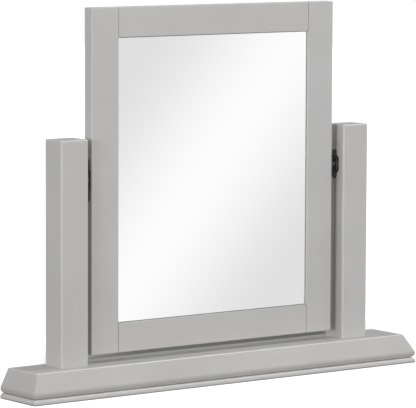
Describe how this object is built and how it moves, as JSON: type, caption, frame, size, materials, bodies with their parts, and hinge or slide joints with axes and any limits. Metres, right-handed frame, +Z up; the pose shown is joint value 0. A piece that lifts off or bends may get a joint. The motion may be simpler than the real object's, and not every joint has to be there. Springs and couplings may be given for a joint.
{
  "type": "dressing table mirror",
  "caption": "Grey painted dressing table mirror: a framed mirror that tilts between two square posts on a long moulded base.",
  "frame": {"origin": "on the table, under the middle of the base, at the bottom of the felt pads", "axes": "+X along the base to the viewer's right, +Y from the mirror's front to its back, +Z up"},
  "size_m": [0.7, 0.086, 0.551],
  "materials": {
    "painted_wood": "satin light grey paint on solid wood",
    "painted_panel": "light grey paint on fibreboard",
    "mirror": "silvered float glass",
    "black_hardware": "semi-gloss black lacquer on pressed steel",
    "plated_steel": "bright zinc plate",
    "beech_dowel": "bare fluted beech",
    "felt": "pressed wool felt",
    "mounting_tape": "white double-sided mounting tape",
    "nylon": "grey nylon"
  },
  "bodies": {
    "stand": {"felt_pads": "felt", "base_plinth_board": "painted_wood", "base_moulded_board": "painted_wood", "board_screws": "plated_steel", "post_dowels": "beech_dowel", "post_bolts": "plated_steel", "left_post": "painted_wood", "right_post": "painted_wood", "left_post_plate": "black_hardware", "right_post_plate": "black_hardware", "post_plate_screws": "black_hardware", "left_friction_washer": "nylon", "right_friction_washer": "nylon", "left_spring_washer": "plated_steel", "right_spring_washer": "plated_steel"},
    "mirror": {"left_stile": "painted_wood", "right_stile": "painted_wood", "top_rail": "painted_wood", "bottom_rail": "painted_wood", "frame_dowels": "beech_dowel", "back_panel": "painted_panel", "mirror_tape": "mounting_tape", "mirror_glass": "mirror", "left_frame_plate": "black_hardware", "right_frame_plate": "black_hardware", "frame_plate_screws": "black_hardware", "left_pivot_stud": "black_hardware", "right_pivot_stud": "black_hardware", "left_lock_nut": "plated_steel", "right_lock_nut": "plated_steel"}
  },
  "joints": [
    {"name": "mirror_tilt", "type": "hinge", "parent": "stand", "child": "mirror", "pos_m": [0, 0.012, 0.306], "axis": [1, 0, 0], "continuous": true}
  ]
}
